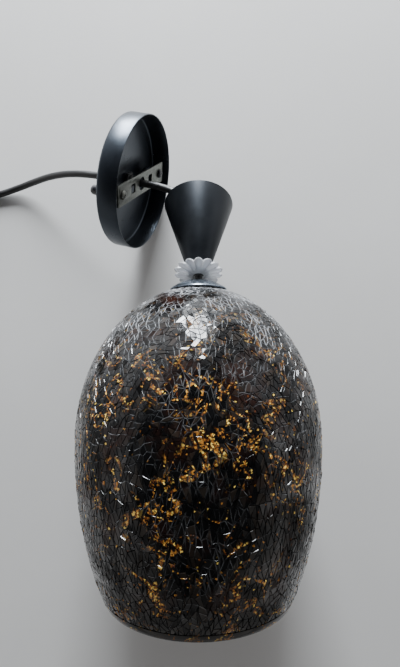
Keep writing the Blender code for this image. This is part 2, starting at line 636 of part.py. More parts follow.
grip_bore = CORD_RADIUS + GAP
grip_thread = CANOPY_HOLE - GAP
grip_top = floor_z + CANOPY_WALL + GRIP_THREAD
grip_end = floor_z - GRIP_LENGTH
turned("cord_grip", [
    (grip_thread, grip_top), (grip_thread, floor_z - GAP), (GRIP_RADIUS, floor_z - GAP),
    (GRIP_RADIUS - 0.0002, floor_z - GRIP_FLANGE), (GRIP_TIP_RADIUS, grip_end), (grip_bore, grip_end),
    (grip_bore, grip_top),
], canopy_frame, nylon)
grip_nut_bottom = floor_z + CANOPY_WALL + GAP
hex_nut("cord_grip_nut", GRIP_NUT_RADIUS, CANOPY_HOLE, grip_nut_bottom, grip_nut_bottom + GRIP_NUT_HEIGHT,
        canopy_frame, nylon)

# ---- free cord, its coil and its cut end --------------------------------------------------------------
tube("cord_run", smooth_route(CORD_ROUTE, CORD_POINTS), CORD_RADIUS, cord_finish, 2)
half_width = COIL_COLUMNS * CORD_RADIUS
coil_height = COIL_LAYERS * 2 * CORD_RADIUS
coil_frame = frame("coil_frame", COIL_CENTRE - Vector((0, 0, CORD_RADIUS)), Matrix.Identity(4))
bevel = CORD_RADIUS * 0.6
turned("cord_coil", [
    (COIL_RADIUS + half_width, coil_height - bevel), (COIL_RADIUS + half_width, bevel),
    (COIL_RADIUS + half_width - bevel, 0.0), (COIL_RADIUS - half_width + bevel, 0.0),
    (COIL_RADIUS - half_width, bevel), (COIL_RADIUS - half_width, coil_height - bevel),
    (COIL_RADIUS - half_width + bevel, coil_height), (COIL_RADIUS + half_width - bevel, coil_height),
], coil_frame, cord_finish, 28)
tube("cord_tail", smooth_route([TAIL_START, TAIL_MIDDLE, TAIL_END], 6), CORD_RADIUS, cord_finish, 2)
tail_way = (TAIL_END - TAIL_MIDDLE).normalized()
tail_frame = frame("tail_frame", TAIL_END, tail_way.to_track_quat("Z", "Y").to_matrix().to_4x4())
for number, core_name in enumerate(("live", "neutral", "earth")):
    turn = math.tau * number / 3
    x, y = CORE_SPREAD * math.cos(turn), CORE_SPREAD * math.sin(turn)
    place("tail_core_" + core_name, rod_mesh(CORE_RADIUS, GAP, CORE_LENGTH, x, y, 8), tail_frame, core_finish)
    place("tail_ferrule_" + core_name,
          rod_mesh(CORE_RADIUS * 0.8, CORE_LENGTH + GAP, CORE_LENGTH + FERRULE_LENGTH, x, y, 8),
          tail_frame, zinc_finish)
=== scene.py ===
"""Looks of a hanging lamp with a crackle-mosaic glass shade, laid on its side.

Metres, +Z up. The lamp's own frame has its origin at the crown of the glass and +Z towards the cord. The
swivel's has it at the pivot of the loose rosette and cone, and the canopy's in its open rim, with +Z to the
ceiling.
"""
import json
import math
import random

import bmesh
import bpy
from mathutils import Matrix, Vector


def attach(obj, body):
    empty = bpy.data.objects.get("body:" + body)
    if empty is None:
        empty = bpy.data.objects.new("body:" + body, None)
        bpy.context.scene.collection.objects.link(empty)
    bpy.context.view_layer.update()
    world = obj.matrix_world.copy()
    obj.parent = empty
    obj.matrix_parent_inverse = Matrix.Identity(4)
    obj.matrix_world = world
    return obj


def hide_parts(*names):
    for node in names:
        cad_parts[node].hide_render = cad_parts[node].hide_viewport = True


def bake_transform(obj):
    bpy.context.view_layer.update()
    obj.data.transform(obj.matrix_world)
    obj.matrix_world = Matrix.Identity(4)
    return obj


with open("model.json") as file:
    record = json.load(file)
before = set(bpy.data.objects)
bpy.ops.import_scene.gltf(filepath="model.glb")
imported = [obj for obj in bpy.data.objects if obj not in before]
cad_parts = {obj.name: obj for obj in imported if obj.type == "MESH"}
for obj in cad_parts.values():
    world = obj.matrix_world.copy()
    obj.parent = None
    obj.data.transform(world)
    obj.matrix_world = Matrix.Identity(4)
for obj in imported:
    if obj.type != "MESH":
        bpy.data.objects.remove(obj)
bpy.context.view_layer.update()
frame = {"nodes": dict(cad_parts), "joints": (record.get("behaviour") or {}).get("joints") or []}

# ---- sizes that the pieces share with the CAD part ----------------------------------------------------
SHADE_RADIUS = 0.100
SHADE_LENGTH = 0.250
SHADE_BELLY = 0.125
RIM_RADIUS = 0.075
MOSAIC_WALL = 0.0016
BLANK_WALL = 0.0030
BLANK_HOLE = 0.0062
GAP = 0.0003
RIM_BAND = 0.0060
MOSAIC_HOLE = 0.0130
PIVOT_HEIGHT = 0.0108
CAP_WALL = 0.0012
CAP_BOSS = 0.0080
PETALS = 14
CONE_SMALL = 0.0086
CONE_WALL = 0.0010
CANOPY_RADIUS = 0.0590
CANOPY_DEPTH = 0.0190
CANOPY_WALL = 0.0010
CANOPY_CORNER = 0.0026
CANOPY_HOLE = 0.0054
BAR_LENGTH = 0.0970
BAR_WIDTH = 0.0190
BAR_HOLE = 0.0060
KNOCKOUT = 0.0080
KNOCKOUT_REACH = 0.0185
STUD_REACH = 0.0400
STUD_HOLE = 0.0023
STUD_RADIUS = 0.0020
NUT_RADIUS = 0.0044
GRIP_NECK = 0.0051

CORD_DIAMETER = 0.0065
CORD_ROUTE = [
    (0.0000, 0.0555, 0.0909),
    (0.0000, 0.0630, 0.0903),
    (0.0002, 0.0720, 0.0891),
    (0.0003, 0.0810, 0.0871),
    (0.0002, 0.0900, 0.0846),
    (-0.0005, 0.0986, 0.0817),
    (-0.0021, 0.1072, 0.0783),
    (-0.0048, 0.1156, 0.0747),
    (-0.0089, 0.1237, 0.0710),
    (-0.0148, 0.1310, 0.0675),
    (-0.0227, 0.1372, 0.0646),
    (-0.0322, 0.1414, 0.0627),
    (-0.0411, 0.1439, 0.0617),
    (-0.0499, 0.1457, 0.0607),
    (-0.0586, 0.1475, 0.0593),
    (-0.0662, 0.1494, 0.0576),
    (-0.0800, 0.1529, 0.0543),
    (-0.0950, 0.1566, 0.0503),
    (-0.1120, 0.1602, 0.0440),
    (-0.1300, 0.1629, 0.0350),
    (-0.1480, 0.1637, 0.0245),
    (-0.1660, 0.1622, 0.0140),
    (-0.1840, 0.1585, 0.0068),
    (-0.2030, 0.1532, 0.0040),
    (-0.2230, 0.1485, 0.0036),
    (-0.2420, 0.1468, 0.0036),
]
TAIL_ROUTE = [(-0.3004, 0.1010, 0.0036), (-0.3003, 0.0840, 0.0036), (-0.2975, 0.0680, 0.0036)]
COIL_CENTRE = Vector((-0.2550, 0.1010))
COIL_RADIUS = 0.0350
CORE_RADIUS = 0.0011
CORE_OFFSET = 0.0016
CORE_LENGTH = 0.0220
FERRULE_LENGTH = 0.0080

# ---- sizes of the mosaic's chips ----------------------------------------------------------------------
GROUT_DEPTH = 0.0008
CRACK = 0.00012
CHAMFER = 0.00024
CHAMFER_FALL = 0.00038
CHIP_FOOT = 0.0011
CHIP_SUNK = (0.00002, 0.00025)
CHIP_TILT = 0.075
CHIP_AREAS = (6e-6, 34e-6)
LEAST_CHIP = 1.6e-6
WIDEST_CORNER = math.radians(176)
SHAKE = 0.0145
MOSAIC_SPLIT = -0.118

random.seed(7)


# ---- camera -------------------------------------------------------------------------------------------
camera = bpy.data.objects.new("camera", bpy.data.cameras.new("camera"))
camera.location = (0.0013, 0.0084, 0.5006)
camera.data.lens = 25.9
camera.data.sensor_width = 36.0
camera.data.clip_start = 0.01
bpy.context.scene.collection.objects.link(camera)
bpy.context.scene.camera = camera


# ---- the frames that the pieces are built in ----------------------------------------------------------
joints = {joint["name"]: joint for joint in frame["joints"]}


def frame_on(origin, up, along):
    """The frame at origin with +Z up the axis and +X as near to along as it can be."""
    z = Vector(up).normalized()
    y = z.cross(Vector(along)).normalized()
    x = y.cross(z)
    made = Matrix((x, y, z)).transposed().to_4x4()
    made.translation = origin
    return made


lamp_axis = Vector(joints["ring_turn"]["axis"]).normalized()
pivot = Vector(joints["cone_spin"]["pos_m"])
LAMP = frame_on(pivot - PIVOT_HEIGHT * lamp_axis, lamp_axis, (1, 0, 0))
SWIVEL = frame_on(pivot, joints["cone_spin"]["axis"], (1, 0, 0))
nut_to_nut = Vector(joints["lower_nut_turn"]["pos_m"]) - Vector(joints["upper_nut_turn"]["pos_m"])
CANOPY = frame_on(Vector(joints["canopy_turn"]["pos_m"]), joints["canopy_turn"]["axis"], nut_to_nut)


def reach(node, place):
    """(bottom, top, inner radius, outer radius) of a CAD node, measured in the place's frame."""
    to_place = place.inverted()
    points = [to_place @ vert.co for vert in frame["nodes"][node].data.vertices]
    radii = [math.hypot(point.x, point.y) for point in points]
    heights = [point.z for point in points]
    return min(heights), max(heights), min(radii), max(radii)


def fit(made, body, slot, *stood_for):
    """Rides the piece on its body, in the place of these CAD nodes, which it hides. The slot is not used."""
    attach(made, body)
    if stood_for:
        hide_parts(*stood_for)


# ---- shader nodes -------------------------------------------------------------------------------------
def node(tree, kind, inputs=None, **settings):
    """A shader node. An input is given by name or number, as a value or as the socket that feeds it."""
    made = tree.nodes.new("ShaderNode" + kind)
    for name, value in settings.items():
        setattr(made, name, value)
    for name, value in (inputs or {}).items():
        if isinstance(value, bpy.types.NodeSocket):
            tree.links.new(value, made.inputs[name])
        else:
            made.inputs[name].default_value = value
    return made


def on_object(tree):
    return node(tree, "TexCoord").outputs["Object"]


def along_shade(tree, place):
    """How far a point lies towards the crown. The shade lies nearly along Y."""
    return node(tree, "SeparateXYZ", {0: place}).outputs["Y"]


def noise_of(tree, scale, detail=3.0, roughness=0.5, vector=None, distortion=0.0):
    made = node(tree, "TexNoise", {
        "Vector": vector or on_object(tree), "Scale": scale, "Detail": detail, "Roughness": roughness,
        "Distortion": distortion})
    return made.outputs["Fac"]


def spread(tree, value, low, high, to_low=0.0, to_high=1.0):
    """The value from low to high, drawn out to to_low to to_high and held there."""
    made = node(tree, "MapRange", {
        "Value": value, "From Min": low, "From Max": high, "To Min": to_low, "To Max": to_high})
    return made.outputs[0]


def maths(tree, operation, a, b=0.0):
    return node(tree, "Math", {0: a, 1: b}, operation=operation).outputs[0]


def product(tree, first, *others):
    for other in others:
        first = maths(tree, "MULTIPLY", first, other)
    return first


def blended(tree, share, first, second):
    made = node(tree, "Mix", {0: share, 6: first, 7: second}, data_type="RGBA")
    return made.outputs[2]


def effect(name, inputs, outputs):
    """An empty node group with these sockets, and its two ends."""
    tree = bpy.data.node_groups.new(name, "ShaderNodeTree")
    for title, kind, value in inputs:
        socket = tree.interface.new_socket(name=title, in_out="INPUT", socket_type="NodeSocket" + kind)
        socket.default_value = value
    for title, kind in outputs:
        tree.interface.new_socket(name=title, in_out="OUTPUT", socket_type="NodeSocket" + kind)
    return tree, tree.nodes.new("NodeGroupInput").outputs, tree.nodes.new("NodeGroupOutput").inputs


def uneven_gloss():
    """Roughness that wanders between two values, with rubbed patches and fine streaks."""
    tree, given, result = effect(
        "uneven gloss", [("Scale", "Float", 40.0), ("Smooth", "Float", 0.3), ("Rough", "Float", 0.5)],
        [("Roughness", "Float")])
    patches = noise_of(tree, given["Scale"], 4.0, 0.6)
    fine = noise_of(tree, product(tree, given["Scale"], 9.0), 2.0, 0.7)
    both = maths(tree, "ADD", product(tree, patches, 0.7), product(tree, fine, 0.3))
    made = spread(tree, spread(tree, both, 0.35, 0.65), 0.0, 1.0, given["Smooth"], given["Rough"])
    tree.links.new(made, result["Roughness"])
    return tree


def two_tone():
    """A colour that drifts between two near ones."""
    tree, given, result = effect(
        "two tone",
        [("Scale", "Float", 60.0), ("First", "Color", (0, 0, 0, 1)), ("Second", "Color", (1, 1, 1, 1))],
        [("Color", "Color")])
    share = spread(tree, noise_of(tree, given["Scale"], 5.0, 0.6, distortion=0.4), 0.38, 0.62)
    tree.links.new(blended(tree, share, given["First"], given["Second"]), result["Color"])
    return tree


def settled_dust():
    """Where fine dust lies: on what faces up, in thin uneven patches and specks."""
    tree, given, result = effect("settled dust", [("Amount", "Float", 0.1)], [("Mask", "Float")])
    up = node(tree, "SeparateXYZ", {0: node(tree, "NewGeometry").outputs["Normal"]}).outputs["Z"]
    facing = spread(tree, up, 0.1, 0.95)
    specks = spread(tree, noise_of(tree, 1500.0, 1.0), 0.66, 0.74)
    film = spread(tree, noise_of(tree, 45.0, 5.0, 0.7), 0.35, 0.75)
    laid = maths(tree, "ADD", product(tree, specks, 0.8), product(tree, film, 0.5))
    tree.links.new(product(tree, laid, facing, given["Amount"]), result["Mask"])
    return tree


DEEP_AMBER = (0.085, 0.022, 0.006, 1)
AMBER = (0.46, 0.20, 0.035, 1)
HONEY = (0.88, 0.62, 0.14, 1)


def amber_flecks():
    """Where amber glass shows in the black: small angular flecks in chains, none near the crown."""
    tree, _, result = effect("amber flecks", [], [("Mask", "Float"), ("Color", "Color")])
    place = on_object(tree)
    fade = spread(tree, along_shade(tree, place), 0.040, -0.030)
    waves = maths(tree, "SUBTRACT", noise_of(tree, 38.0, 3.0, 0.55, place, 1.2), 0.5)
    chains = spread(tree, maths(tree, "ABSOLUTE", waves), 0.034, 0.016)
    gathered = spread(tree, noise_of(tree, 24.0, 3.0, 0.6, place), 0.44, 0.53)
    cells = node(tree, "TexVoronoi", {"Vector": place, "Scale": 760.0, "Randomness": 1.0}, feature="F1")
    drawn = node(tree, "SeparateColor", {0: cells.outputs["Color"]}).outputs
    flecks = spread(tree, drawn[0], 0.34, 0.40)
    stray = product(tree, spread(tree, drawn[2], 0.982, 0.986), 0.7)
    chained = product(tree, chains, flecks, gathered)
    tree.links.new(product(tree, maths(tree, "MAXIMUM", chained, stray), fade), result["Mask"])
    deep = blended(tree, spread(tree, drawn[1], 0.1, 0.8), DEEP_AMBER, AMBER)
    tree.links.new(blended(tree, spread(tree, drawn[1], 0.75, 0.95), deep, HONEY), result["Color"])
    return tree


GLOSS = uneven_gloss()
TONES = two_tone()
DUST = settled_dust()
FLECKS = amber_flecks()
DUST_GREY = (0.45, 0.44, 0.42, 1)
GRAIN_DEPTH = 0.001


# ---- materials ----------------------------------------------------------------------------------------
def grouped(tree, group, inputs=None):
    made = tree.nodes.new("ShaderNodeGroup")
    made.node_tree = group
    for name, value in (inputs or {}).items():
        made.inputs[name].default_value = value
    return made.outputs


def blank_material(name):
    """A new material's (material, tree, shader)."""
    made = bpy.data.materials.new(name)
    made.use_nodes = True
    return made, made.node_tree, made.node_tree.nodes["Principled BSDF"]


def finish(name, colour, second, gloss, scale, grain, dust=0.0, **constants):
    """A material of two near colours, with a gloss from smooth to rough and a grain of (scale, strength), all
    uneven. The constants are sockets of the shader."""
    made, tree, shader = blank_material(name)
    for socket, value in constants.items():
        shader.inputs[socket.replace("_", " ")].default_value = value
    tones = {"Scale": scale, "First": (*colour, 1), "Second": (*second, 1)}
    base = grouped(tree, TONES, tones)["Color"]
    if dust:
        base = blended(tree, grouped(tree, DUST, {"Amount": dust})["Mask"], base, DUST_GREY)
    tree.links.new(base, shader.inputs["Base Color"])
    uneven = grouped(tree, GLOSS, {"Scale": scale, "Smooth": gloss[0], "Rough": gloss[1]})
    tree.links.new(uneven["Roughness"], shader.inputs["Roughness"])
    height = noise_of(tree, grain[0], 3.0, 0.6)
    bump = node(tree, "Bump", {"Height": height, "Strength": grain[1], "Distance": GRAIN_DEPTH})
    tree.links.new(bump.outputs[0], shader.inputs["Normal"])
    return made


def over_base(made, mask_and_colour):
    """Lays a second colour over a finish, where its mask says."""
    tree = made.node_tree
    base = tree.nodes["Principled BSDF"].inputs["Base Color"]
    mask, colour = mask_and_colour(tree)
    tree.links.new(blended(tree, mask, base.links[0].from_socket, colour), base)
    return made


black_satin = finish(
    "black_satin", (0.0045, 0.0055, 0.0075), (0.0065, 0.0078, 0.0105), (0.27, 0.36), 70, (1400, 0.04),
    dust=0.03, Specular_IOR_Level=0.70, Specular_Tint=(0.68, 0.82, 1.0, 1.0))
# The cone has the canopy's black satin paint, here painted darker and with a weaker shine: painted shade.
cone_satin_shaded = finish(
    "cone_satin_shaded", (0.0030, 0.0036, 0.0045), (0.0045, 0.0052, 0.0064), (0.34, 0.42), 70, (1400, 0.04),
    dust=0.02, Specular_IOR_Level=0.22, Specular_Tint=(0.75, 0.86, 1.0, 1.0))
black_gloss = finish(
    "black_gloss", (0.008, 0.009, 0.012), (0.012, 0.013, 0.018), (0.10, 0.22), 80, (900, 0.02),
    dust=0.05, Coat_Weight=0.6, Coat_Roughness=0.06)
cap_nickel = finish(
    "black_nickel", (0.20, 0.235, 0.28), (0.15, 0.18, 0.22), (0.20, 0.34), 90, (900, 0.02),
    dust=0.05, Metallic=1.0)
# Zinc plate darker than bright zinc: its own dull grey, darkened further as painted shade for the crossbar in
# the canopy's hollow.
zinc = finish(
    "zinc_plate", (0.13, 0.14, 0.125), (0.20, 0.205, 0.185), (0.34, 0.55), 240, (1800, 0.10),
    dust=0.06, Metallic=1.0)
bright_steel = finish(
    "bright_steel", (0.55, 0.55, 0.56), (0.66, 0.66, 0.66), (0.16, 0.30), 300, (1500, 0.04), Metallic=1.0)
# Dark steel for the lower screw's head, where the upper one is zinc: painted shade on the same kind of screw.
dark_steel = finish(
    "steel_painted_dark", (0.035, 0.036, 0.040), (0.06, 0.06, 0.062), (0.25, 0.42), 260, (1500, 0.05),
    Metallic=1.0)
brass = finish(
    "brass", (0.62, 0.45, 0.18), (0.50, 0.35, 0.13), (0.18, 0.38), 260, (1600, 0.05), Metallic=1.0)
bakelite = finish(
    "holder_plastic", (0.014, 0.014, 0.015), (0.022, 0.021, 0.021), (0.22, 0.38), 120, (1300, 0.05),
    dust=0.08)
ceramic = finish(
    "glazed_ceramic", (0.82, 0.80, 0.75), (0.88, 0.87, 0.84), (0.12, 0.28), 90, (600, 0.03))
nylon = finish(
    "black_nylon", (0.018, 0.018, 0.019), (0.028, 0.028, 0.028), (0.38, 0.52), 150, (2200, 0.12),
    dust=0.1)
rubber = finish(
    "gasket_rubber", (0.03, 0.03, 0.03), (0.05, 0.05, 0.048), (0.65, 0.85), 150, (2000, 0.2))
sheath = finish(
    "cord_sheath", (0.007, 0.007, 0.008), (0.012, 0.012, 0.013), (0.34, 0.50), 110, (2600, 0.10),
    dust=0.06)
brown_core = finish(
    "brown_core", (0.16, 0.07, 0.03), (0.20, 0.09, 0.04), (0.35, 0.50), 200, (2400, 0.06))
blue_core = finish(
    "blue_core", (0.03, 0.12, 0.38), (0.04, 0.15, 0.44), (0.35, 0.50), 200, (2400, 0.06))
earth_core = finish(
    "earth_core", (0.16, 0.36, 0.05), (0.55, 0.52, 0.06), (0.35, 0.50), 120, (2400, 0.06))
# The crystal is only partly clear: its white diffuse share is painted light, standing in for window light
# that the flutes gather and send on.
crystal = finish(
    "crystal", (1.0, 1.0, 1.0), (0.95, 0.96, 1.0), (0.02, 0.07), 200, (500, 0.08),
    Transmission_Weight=0.62, IOR=1.50, Coat_Weight=1.0, Coat_Roughness=0.03)
pale_floor = finish(
    "floor", (0.60, 0.59, 0.575), (0.62, 0.61, 0.595), (0.75, 0.85), 6, (90, 0.05))

BLACK_GLASS = (0.0028, 0.0028, 0.0030, 1)
SMOKY_GLASS = (0.018, 0.014, 0.011, 1)
RED_GLASS = (0.022, 0.007, 0.004, 1)
# Pale grey of the chips' broken edges, laid on as a painted highlight.
BROKEN_EDGE_HIGHLIGHT = (0.52, 0.53, 0.55, 1)
# Pale grey laid on the grout as a painted highlight.
LIT_GROUT_GREY = (0.50, 0.50, 0.50, 1)


def chip_glass():
    """Black and smoky glass chips: each its own tone, rippled and glossy. Amber shows in places; its glow and
    its fading at grazing angles are painted light coming through the glass.
    The broken edges are paler towards the crown, which faces the window, and at grazing angles: a painted
    highlight."""
    made, tree, shader = blank_material("mosaic_chips")
    place = on_object(tree)
    tone = node(tree, "Attribute", attribute_name="tone").outputs["Fac"]
    edge = node(tree, "Attribute", attribute_name="edge").outputs["Fac"]
    dark = blended(tree, spread(tree, tone, 0.66, 1.0), BLACK_GLASS, SMOKY_GLASS)
    red = spread(tree, noise_of(tree, 30.0, 3.0, 0.6, place), 0.52, 0.72, 0.0, 0.7)
    dark = blended(tree, red, dark, RED_GLASS)

    flecks = grouped(tree, FLECKS)
    facing = node(tree, "LayerWeight", {"Blend": 0.5}).outputs["Facing"]
    # The amber is the chips' own colour, but its fading at grazing angles and its glow by emission are
    # painted light: light coming through the glass.
    through = spread(tree, facing, 0.75, 0.35)
    amber = product(tree, flecks["Mask"], spread(tree, tone, 0.12, 0.16), through)
    lit = blended(tree, amber, dark, flecks["Color"])
    painted_glow = blended(tree, amber, (0, 0, 0, 1), flecks["Color"])
    tree.links.new(painted_glow, shader.inputs["Emission Color"])
    shader.inputs["Emission Strength"].default_value = 0.16

    # Painted highlight: the broken edges are paler towards the crown, which faces the window, and at grazing
    # angles.
    crown = product(tree, spread(tree, along_shade(tree, place), -0.035, 0.038), 0.75)
    grazing_highlight = product(tree, spread(tree, facing, 0.30, 0.85), 0.35)
    painted_edge_highlight = maths(tree, "ADD", maths(tree, "MAXIMUM", crown, grazing_highlight), 0.02)
    patches = spread(tree, noise_of(tree, 55.0, 4.0, 0.6, place), 0.42, 0.60)
    pale = product(tree, edge, painted_edge_highlight, patches)
    tree.links.new(blended(tree, pale, lit, BROKEN_EDGE_HIGHLIGHT), shader.inputs["Base Color"])

    gloss = grouped(tree, GLOSS, {"Scale": 90.0, "Smooth": 0.05, "Rough": 0.20})["Roughness"]
    tree.links.new(gloss, shader.inputs["Roughness"])
    ripple = noise_of(tree, 260.0, 2.0, 0.5, place)
    bump = node(tree, "Bump", {"Height": ripple, "Strength": 0.20, "Distance": 0.0006})
    tree.links.new(bump.outputs[0], shader.inputs["Normal"])
    polished = spread(tree, noise_of(tree, 26.0, 3.0, 0.6, place, 0.6), 0.42, 0.62, 0.04, 0.95)
    tree.links.new(polished, shader.inputs["Coat Weight"])
    shader.inputs["Coat Roughness"].default_value = 0.05
    shader.inputs["Specular IOR Level"].default_value = 0.16
    return made


def lit_grout_patches(tree):
    """Where the grout is painted pale, a painted highlight: in patches towards the crown, which faces the
    window.
    """
    place = on_object(tree)
    crown = spread(tree, along_shade(tree, place), -0.05, 0.03)
    patches = spread(tree, noise_of(tree, 70.0, 3.0, 0.6, place), 0.35, 0.6)
    return product(tree, crown, patches), LIT_GROUT_GREY


def flecks_within(tree):
    flecks = grouped(tree, FLECKS)
    return flecks["Mask"], flecks["Color"]


chips_finish = chip_glass()
# The grout, dark, with a painted highlight in pale patches towards the crown.
grout_finish = over_base(finish(
    "grout", (0.012, 0.011, 0.010), (0.03, 0.028, 0.026), (0.55, 0.8), 180, (2400, 0.3)), lit_grout_patches)
glass_finish = over_base(finish(
    "smoked_glass", (0.005, 0.0045, 0.004), (0.009, 0.007, 0.006), (0.06, 0.16), 40, (60, 0.05),
    Specular_IOR_Level=0.20), flecks_within)


# ---- shaping ------------------------------------------------------------------------------------------
def piece(name, shape, place, finish_of, sharp=35.0):
    """The bmesh as an object at the origin, laid in place, smooth but for its sharp edges."""
    shape.transform(place)
    mesh = bpy.data.meshes.new(name)
    shape.to_mesh(mesh)
    shape.free()
    mesh.shade_smooth()
    mesh.set_sharp_from_angle(angle=math.radians(sharp))
    mesh.materials.append(finish_of)
    made = bpy.data.objects.new(name, mesh)
    bpy.context.scene.collection.objects.link(made)
    return made


def soften(shape, width, segments=2, angle=35.0):
    """Rounds every edge that turns by more than the angle."""
    edges = [edge for edge in shape.edges
             if len(edge.link_faces) == 2 and edge.calc_face_angle(0.0) > math.radians(angle)]
    bmesh.ops.bevel(shape, geom=edges, offset=width, segments=segments, profile=0.5, affect="EDGES",
                    clamp_overlap=True, material=-1)


def steps(first, last, count):
    """Values from first to last in this many even steps."""
    return [first + (last - first) * k / count for k in range(count + 1)]


def turned(profile, sides=96, closed=True):
    """A bmesh turned from (radius, height) pairs. A profile that isn't closed starts and ends on the axis."""
    shape = bmesh.new()
    corners = [shape.verts.new((radius, 0.0, height)) for radius, height in profile]
    edges = [shape.edges.new(pair) for pair in zip(corners, corners[1:])]
    if closed:
        edges.append(shape.edges.new((corners[-1], corners[0])))
    bmesh.ops.spin(shape, geom=corners + edges, cent=(0, 0, 0), axis=(0, 0, 1), angle=math.tau, steps=sides,
                   use_merge=True)
    bmesh.ops.remove_doubles(shape, verts=shape.verts, dist=1e-6)
    bmesh.ops.recalc_face_normals(shape, faces=shape.faces)
    return shape


def plate(outlines, bottom, top, edge):
    """A flat bmesh between two heights: the first outline is its edge, and the others are holes."""
    shape = bmesh.new()
    for points in outlines:
        corners = [shape.verts.new((x, y, bottom)) for x, y in points]
        for pair in zip(corners, corners[1:] + corners[:1]):
            shape.edges.new(pair)
    bmesh.ops.triangle_fill(shape, edges=shape.edges, use_beauty=True)
    raised = bmesh.ops.extrude_face_region(shape, geom=shape.faces[:], use_keep_orig=True)["geom"]
    raised = [part for part in raised if isinstance(part, bmesh.types.BMVert)]
    bmesh.ops.translate(shape, verts=raised, vec=(0, 0, top - bottom))
    bmesh.ops.recalc_face_normals(shape, faces=shape.faces)
    soften(shape, edge)
    return shape


def ring_of(count, radius, x=0.0):
    turns = [math.tau * k / count for k in range(count)]
    return [(x + radius * math.cos(turn), radius * math.sin(turn)) for turn in turns]


def rounded_box(x, width, height, corner, count=5):
    """The outline of a rectangle with round corners, its middle at x."""
    points = []
    for quarter in range(4):
        middle = math.pi / 4 + quarter * math.pi / 2
        centre_x = x + math.copysign(width / 2 - corner, math.cos(middle))
        centre_y = math.copysign(height / 2 - corner, math.sin(middle))
        for step in range(count):
            turn = quarter * math.pi / 2 + math.pi / 2 * step / (count - 1)
            points.append((centre_x + corner * math.cos(turn), centre_y + corner * math.sin(turn)))
    return points


def bored(made, place, radius, bottom, top):
    """Drills a round hole up the place's axis through a finished piece."""
    drill = bmesh.new()
    bmesh.ops.create_cone(drill, cap_ends=True, segments=24, radius1=radius, radius2=radius,
                          depth=top - bottom, matrix=Matrix.Translation((0, 0, (bottom + top) / 2)))
    cutter = piece("drill", drill, place, made.data.materials[0])
    boolean = made.modifiers.new("bore", "BOOLEAN")
    boolean.object = cutter
    boolean.operation = "DIFFERENCE"
    graph = bpy.context.evaluated_depsgraph_get()
    mesh = bpy.data.meshes.new_from_object(made.evaluated_get(graph))
    made.modifiers.remove(boolean)
    made.data = mesh
    bpy.data.objects.remove(cutter)


def smooth_route(route, count):
    """count points, evenly spaced, on a smooth curve through the route's own points."""
    fine = []
    last = len(route) - 1
    for i in range(last):
        a, b = Vector(route[max(i - 1, 0)]), Vector(route[i])
        c, d = Vector(route[i + 1]), Vector(route[min(i + 2, last)])
        for step in range(16):
            t = step / 16
            fine.append(0.5 * (2 * b + (c - a) * t + (2 * a - 5 * b + 4 * c - d) * t**2
                               + (3 * b - a - 3 * c + d) * t**3))
    fine.append(Vector(route[last]))
    walked = [0.0]
    for a, b in zip(fine, fine[1:]):
        walked.append(walked[-1] + (b - a).length)
    points = []
    i = 0
    for k in range(count):
        want = walked[-1] * k / (count - 1)
        while i < len(fine) - 2 and walked[i + 1] < want:
            i += 1
        share = (want - walked[i]) / (walked[i + 1] - walked[i])
        points.append(fine[i].lerp(fine[i + 1], min(max(share, 0.0), 1.0)))
    return points


def tube(name, points, radius, finish_of, resolution=8):
    """A round tube with capped ends along the points."""
    curve = bpy.data.curves.new(name + "_line", "CURVE")
    curve.dimensions = "3D"
    spline = curve.splines.new("POLY")
    spline.points.add(len(points) - 1)
    for control, point in zip(spline.points, points):
        control.co = (*point, 1.0)
    curve.bevel_depth = radius
    curve.bevel_resolution = resolution
    curve.use_fill_caps = True
    line = bpy.data.objects.new(name + "_line", curve)
    bpy.context.scene.collection.objects.link(line)
    graph = bpy.context.evaluated_depsgraph_get()
    mesh = bpy.data.meshes.new_from_object(line.evaluated_get(graph))
    bpy.data.objects.remove(line)
    shape = bmesh.new()
    shape.from_mesh(mesh)
    bpy.data.meshes.remove(mesh)
    bmesh.ops.remove_doubles(shape, verts=shape.verts, dist=1e-6)
    return piece(name, shape, Matrix.Identity(4), finish_of)


# ---- the free cord ------------------------------------------------------------------------------------
def coil_route():
    """Two turns on the floor, outer then inner, and two on top of them, inner then outer. Every change from
    one to the next is made over the same stretch, where the cord comes in, each strand rolling round the one
    before."""
    spacing = CORD_DIAMETER + 0.0002
    outer, low = COIL_RADIUS + spacing / 2, TAIL_ROUTE[0][2]
    offset_in = Vector(CORD_ROUTE[-1][:2]) - COIL_CENTRE
    way_in = offset_in.length - outer
    start, zone, per_turn = offset_in.angle_signed(Vector((1, 0))), math.radians(66), 44
    tail_radius = COIL_CENTRE.x - TAIL_ROUTE[0][0]
    sag = math.radians(27)

    def strand(turn, share):
        """(radius, height) of each turn's strand at this share of the stretch where they change places."""
        eased = min(share / 0.7, 1.0)
        eased = eased * eased * (3 - 2 * eased)
        roll = math.pi / 2 * eased
        if turn == 0:
            return outer + way_in * (1 - share) ** 2, low
        radius, height = outer - spacing * eased, low
        if turn > 1:
            radius, height = radius - spacing * math.cos(roll), height + spacing * math.sin(roll)
        if turn > 2:
            radius, height = radius + spacing * math.sin(roll), height + spacing * math.cos(roll)
        if turn > 3:
            radius += spacing * math.cos(sag * eased)
            height -= spacing * math.sin(sag * eased)
        return radius, height

    points = []
    last_turn = 4
    end = math.pi - start
    for step in range(last_turn * per_turn + int(per_turn * end / math.tau)):
        turn, part = divmod(step, per_turn)
        angle = math.tau * part / per_turn
        radius, height = strand(turn, min(angle / zone, 1.0))
        if turn == last_turn and angle > zone:
            share = (angle - zone) / (end - zone)
            radius += (tail_radius - radius) * share
            height += (low - height) * share * (2 - share)
        points.append((COIL_CENTRE.x + radius * math.cos(start + angle),
                       COIL_CENTRE.y + radius * math.sin(start + angle), height))
    return points


cord_path = smooth_route(CORD_ROUTE + coil_route()[1:] + TAIL_ROUTE, 420)
cord = tube("supply_cord", cord_path, CORD_DIAMETER / 2, sheath)
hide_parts("cord_run", "cord_coil", "cord_tail")

